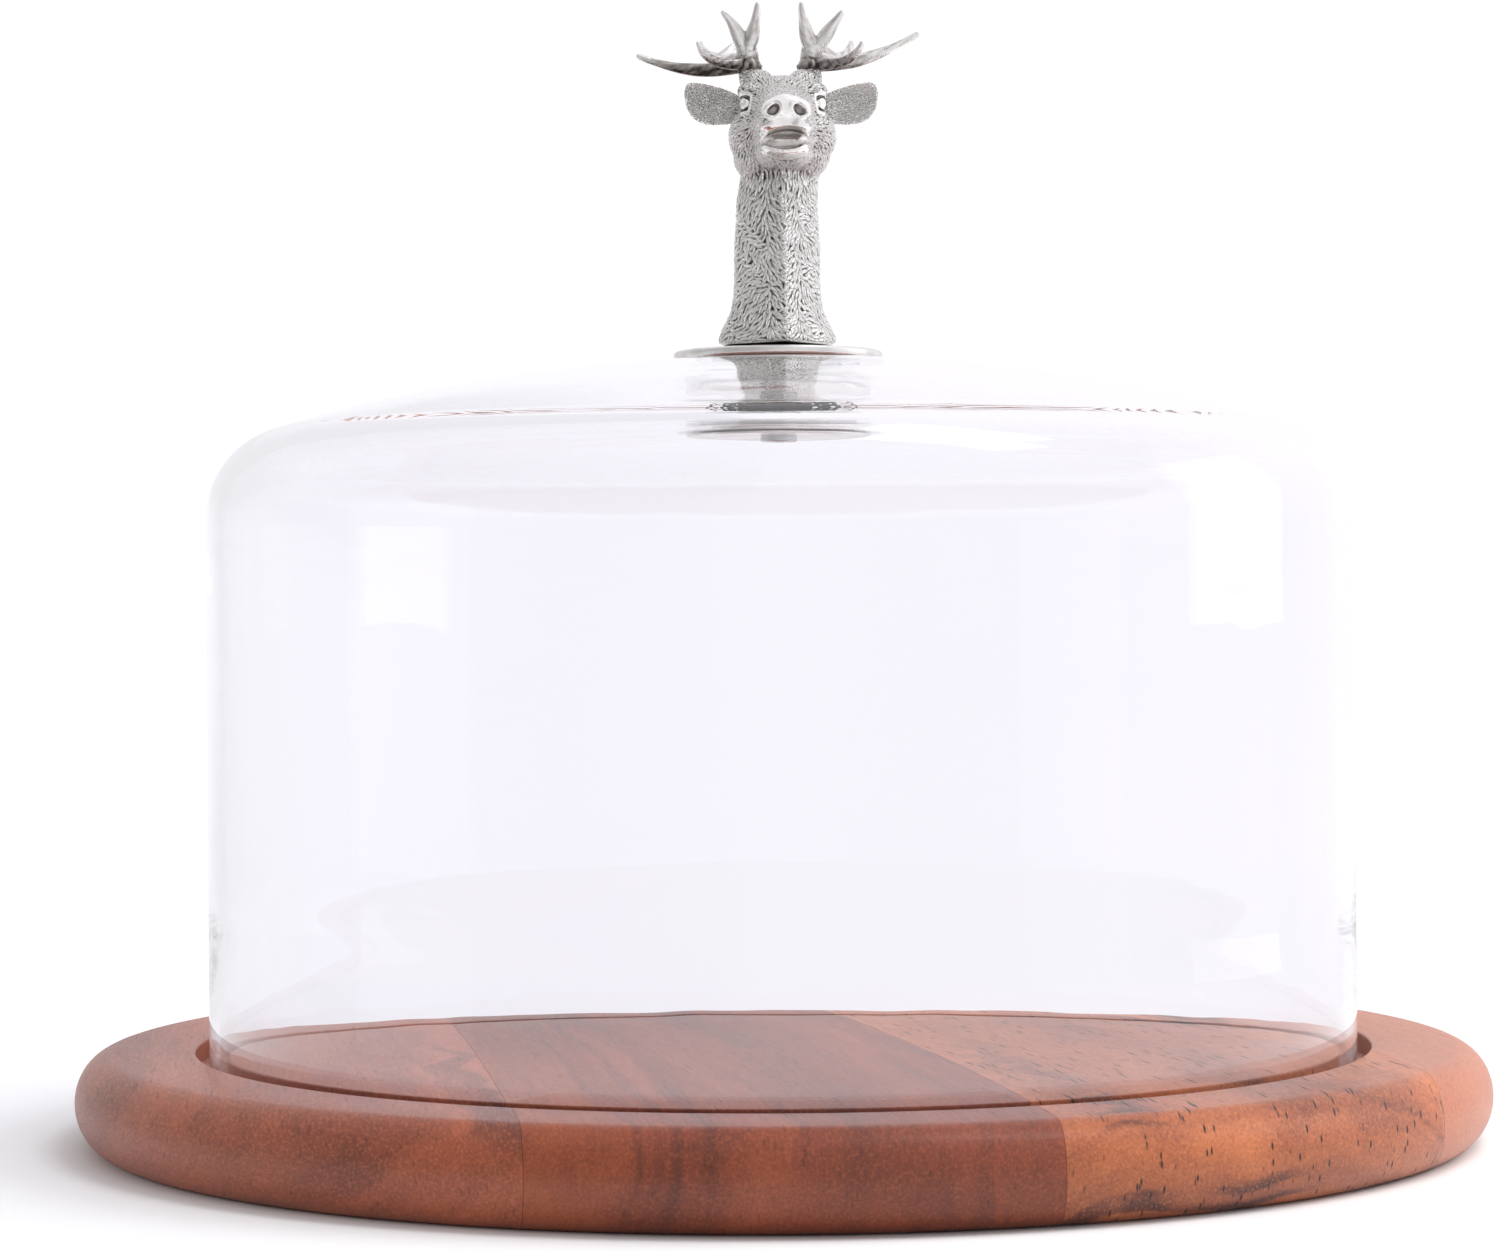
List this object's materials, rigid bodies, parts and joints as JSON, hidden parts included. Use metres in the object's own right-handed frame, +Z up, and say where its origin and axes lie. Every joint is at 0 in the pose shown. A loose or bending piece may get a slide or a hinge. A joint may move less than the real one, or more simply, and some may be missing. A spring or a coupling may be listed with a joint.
{
  "type": "cheese dome",
  "caption": "Clear glass cheese dome with a pewter stag knob, lifting out of a round groove in a rounded board glued up from wooden staves.",
  "frame": {"origin": "middle of the board's flat underside, on the dome's axis", "axes": "+Z up along the dome's axis; the stag faces -Y, turned 4 degrees towards +X; +X to the right when seen from in front"},
  "size_m": [0.356, 0.356, 0.2875],
  "materials": {
    "board_wood": "oiled acacia, satin, end grain on the front and back rim",
    "clear_glass": "clear, polished, faint cool tint",
    "clear_silicone": "translucent, smooth",
    "antiqued_pewter": "cast fur relief, bright on the high spots and dark in the hollows",
    "polished_pewter": "softly polished",
    "screw_steel": "zinc plated",
    "insert_brass": "turned"
  },
  "bodies": {
    "board": {"board_stave_left": "board_wood", "board_stave_mid_left": "board_wood", "board_stave_mid_right": "board_wood", "board_stave_right": "board_wood"},
    "lid": {"glass_dome": "clear_glass", "glass_bush": "clear_silicone", "upper_gasket": "clear_silicone", "lower_gasket": "clear_silicone"},
    "finial": {"stag_bust": "antiqued_pewter", "antler_left": "antiqued_pewter", "antler_right": "antiqued_pewter", "flange_plate": "polished_pewter", "clamp_plate": "polished_pewter", "lock_washer": "screw_steel", "knob_screw": "screw_steel", "knob_insert": "insert_brass"}
  },
  "joints": [
    {"name": "lid_lift", "type": "slide", "parent": "board", "child": "lid", "axis": [0, 0, 1], "range_m": [0, 0.2]},
    {"name": "finial_turn", "type": "hinge", "parent": "lid", "child": "finial", "pos_m": [0, 0, 0.2], "axis": [0, 0, 1], "continuous": true}
  ]
}
